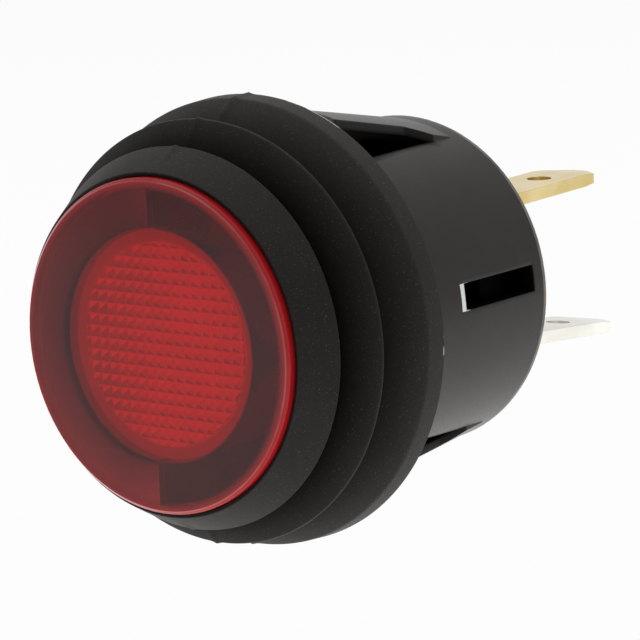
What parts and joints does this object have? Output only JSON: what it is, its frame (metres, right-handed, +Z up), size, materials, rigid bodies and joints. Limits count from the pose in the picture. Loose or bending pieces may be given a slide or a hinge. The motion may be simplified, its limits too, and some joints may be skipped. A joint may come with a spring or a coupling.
{
  "type": "pushbutton switch",
  "caption": "Round snap-in pushbutton switch with a red lens cap, a stepped rubber sealing boot, latch fingers on the barrel and flat tab terminals.",
  "frame": {"origin": "on the barrel's axis, in the plane where the bezel's back face seats on the panel", "axes": "+Y along the barrel towards the terminals, so the cap faces -Y; +Z up, from the load terminal to the common terminal; +X to the right as seen from the front"},
  "size_m": [0.0256, 0.0451, 0.0256],
  "materials": {
    "rubber": "matte",
    "black_nylon": "satin",
    "red_clear": "clear tinted",
    "white_plastic": "gloss",
    "brass": "bright stamped",
    "silvered": "silver plated",
    "silver_alloy": "satin",
    "copper": "stamped",
    "spring_steel": "drawn wire",
    "lamp_epoxy": "clear tinted",
    "resistor_body": "lacquer"
  },
  "bodies": {
    "case": {"boot": "rubber", "housing": "black_nylon", "base": "black_nylon", "lamp_holder": "black_nylon", "terminal_common": "brass", "terminal_load": "silvered", "terminal_lamp": "silvered", "fixed_contact_a": "silver_alloy", "fixed_contact_b": "silver_alloy", "return_spring": "spring_steel", "lamp": "lamp_epoxy", "lamp_lead_a": "silvered", "lamp_lead_b": "silvered", "resistor": "resistor_body"},
    "button": {"carrier": "black_nylon", "lens_cap": "red_clear", "diffuser": "red_clear", "reflector": "white_plastic", "contact_spring": "spring_steel"},
    "bridge": {"contact_bridge": "copper", "moving_contact_a": "silver_alloy", "moving_contact_b": "silver_alloy"}
  },
  "joints": [
    {"name": "button_press", "type": "slide", "parent": "case", "child": "button", "axis": [0, 1, 0], "range_m": [0, 0.0025], "stiffness_N_per_m": 900, "springref_m": -0.0022, "deforming": ["boot", "return_spring"]},
    {"name": "bridge_float", "type": "slide", "parent": "button", "child": "bridge", "axis": [0, -1, 0], "range_m": [0, 0.0008], "stiffness_N_per_m": 600, "springref_m": -0.0012, "deforming": ["contact_spring"]}
  ]
}
